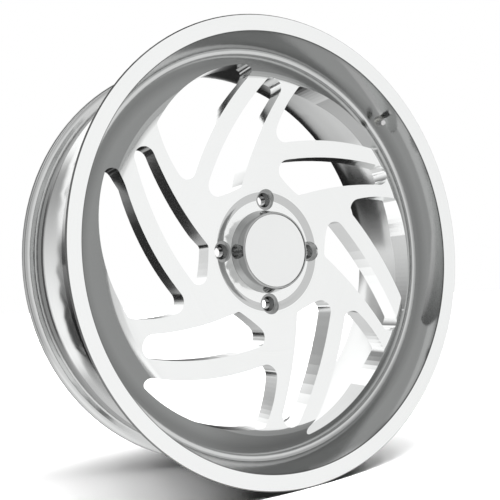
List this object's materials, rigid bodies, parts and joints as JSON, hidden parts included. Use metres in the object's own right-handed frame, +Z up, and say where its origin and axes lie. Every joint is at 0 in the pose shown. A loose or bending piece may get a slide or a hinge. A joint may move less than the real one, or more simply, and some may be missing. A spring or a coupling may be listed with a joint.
{
  "type": "wheel rim",
  "caption": "Deep-lip forged wheel rim with a directional curved-spoke centre, a plug-in centre cap and a short bent air valve.",
  "frame": {"origin": "centre of the hub mounting face, which is also the middle of the rim's width on the wheel's axis", "axes": "Y is the wheel's axis with the outboard face looking towards -Y; +Z is up; the air valve is up and to the +X side"},
  "size_m": [0.6489, 0.209, 0.649],
  "materials": {
    "rim": "polished, soft brushed lip",
    "disc": "forged and turned, polished face with satin window walls",
    "weld": "polished weld fillet",
    "rear_weld": "as welded, rippled",
    "lug_seat": "turned steel insert",
    "cap_body": "polished billet",
    "cap_plate": "bright turned face",
    "black_rubber": "moulded rubber",
    "spring_steel": "drawn spring wire",
    "screw_steel": "dark oxide steel",
    "valve_nickel": "nickel plated brass",
    "washer_steel": "zinc plated steel",
    "core_brass": "turned brass",
    "pin_steel": "bright steel",
    "red_seal": "red sealing ring",
    "valve_cap_metal": "nickel plated, fluted grip"
  },
  "bodies": {
    "wheel": {"rim_barrel": "rim", "centre_disc": "disc", "front_weld_fillet": "weld", "rear_weld_bead": "rear_weld", "lug_seat_1": "lug_seat", "lug_seat_2": "lug_seat", "lug_seat_3": "lug_seat", "lug_seat_4": "lug_seat", "valve_stem": "valve_nickel", "valve_grommet": "black_rubber", "valve_washer": "washer_steel", "valve_nut": "valve_nickel", "valve_core_body": "core_brass", "valve_core_seal": "red_seal", "valve_core_spring": "spring_steel"},
    "centre_cap": {"cap_shell": "cap_body", "cap_face_plate": "cap_plate", "cap_o_ring": "black_rubber", "cap_snap_ring": "spring_steel", "cap_screws": "screw_steel"},
    "valve_pin": {"valve_core_pin": "pin_steel"},
    "dust_cap": {"valve_cap": "valve_cap_metal", "valve_cap_gasket": "black_rubber"}
  },
  "joints": [
    {"name": "centre_cap_pull", "type": "slide", "parent": "wheel", "child": "centre_cap", "axis": [0, -1, 0], "range_m": [0, 0.03]},
    {"name": "valve_pin_press", "type": "slide", "parent": "wheel", "child": "valve_pin", "axis": [0.1217, 0.9848, 0.1239], "range_m": [0, 0.0014], "stiffness_N_per_m": 300, "springref_m": -0.002, "deforming": ["valve_core_spring"]},
    {"name": "dust_cap_off", "type": "slide", "parent": "wheel", "child": "dust_cap", "axis": [-0.1217, -0.9848, -0.1239], "range_m": [0, 0.012]}
  ]
}
